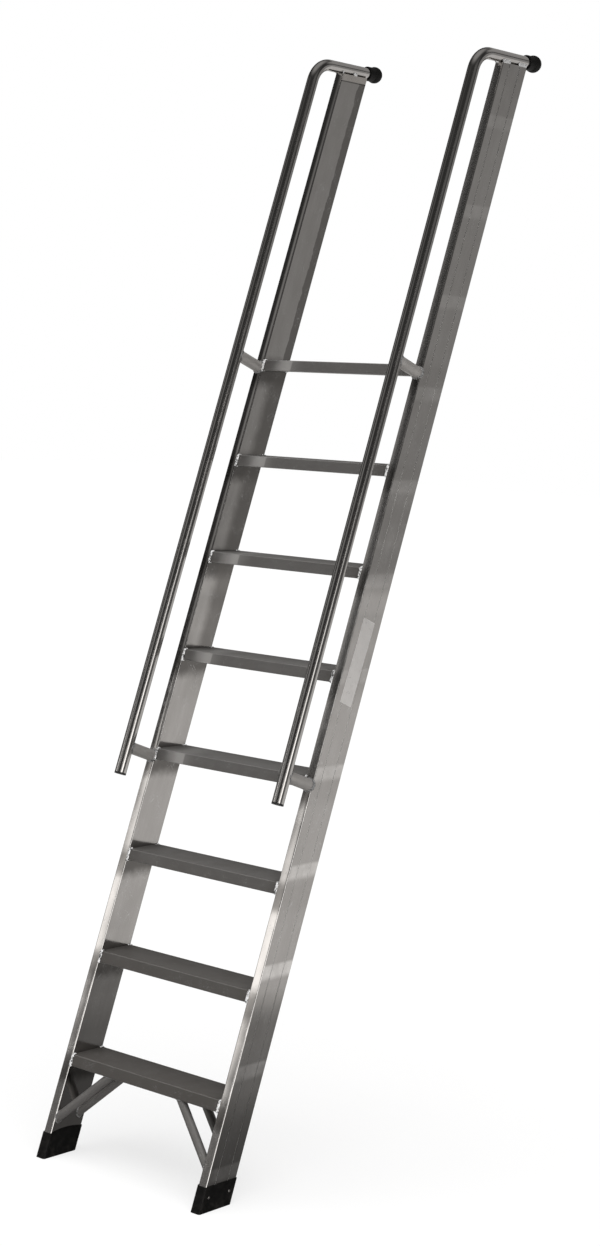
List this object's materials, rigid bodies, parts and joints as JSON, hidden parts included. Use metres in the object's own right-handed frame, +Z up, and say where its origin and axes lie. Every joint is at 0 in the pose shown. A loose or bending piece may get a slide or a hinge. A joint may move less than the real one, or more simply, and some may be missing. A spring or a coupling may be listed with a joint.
{
  "type": "leaning access ladder with flat treads and bent tube handrails",
  "caption": "Fixed-length aluminium access ladder with box stiles, flat treads, bent tube handrails with ball buffers, braced foot and rubber shoes; it leans on a wall or platform edge.",
  "frame": {"origin": "middle of the left shoe's flat sole, on the floor", "axes": "+X from the left stile to the right stile as someone climbs, +Y back towards what the ladder leans on, +Z up"},
  "size_m": [0.569, 1.1282, 2.8118],
  "materials": {
    "mill_aluminium": "mill finish with a fine lengthwise grain",
    "tread_aluminium": "brushed along the tread",
    "polished_aluminium": "bright polished",
    "black_rubber": "matt",
    "black_plastic": "matt",
    "rivet_steel": "dull"
  },
  "bodies": {
    "root": {"stile_left": "mill_aluminium", "stile_cap_left": "mill_aluminium", "stile_right": "mill_aluminium", "stile_cap_right": "mill_aluminium", "tread_1": "tread_aluminium", "tread_2": "tread_aluminium", "tread_3": "tread_aluminium", "tread_4": "tread_aluminium", "tread_5": "tread_aluminium", "tread_6": "tread_aluminium", "tread_7": "tread_aluminium", "tread_8": "tread_aluminium", "handrail_left": "polished_aluminium", "rail_stub_lower_left": "mill_aluminium", "rail_stub_upper_left": "mill_aluminium", "rail_plug_left": "black_plastic", "buffer_left": "black_rubber", "shoe_left": "black_rubber", "shoe_rivets_left": "rivet_steel", "brace_front_left": "mill_aluminium", "brace_rear_left": "mill_aluminium", "handrail_right": "polished_aluminium", "rail_stub_lower_right": "mill_aluminium", "rail_stub_upper_right": "mill_aluminium", "rail_plug_right": "black_plastic", "buffer_right": "black_rubber", "shoe_right": "black_rubber", "shoe_rivets_right": "rivet_steel", "brace_front_right": "mill_aluminium", "brace_rear_right": "mill_aluminium"}
  },
  "joints": []
}
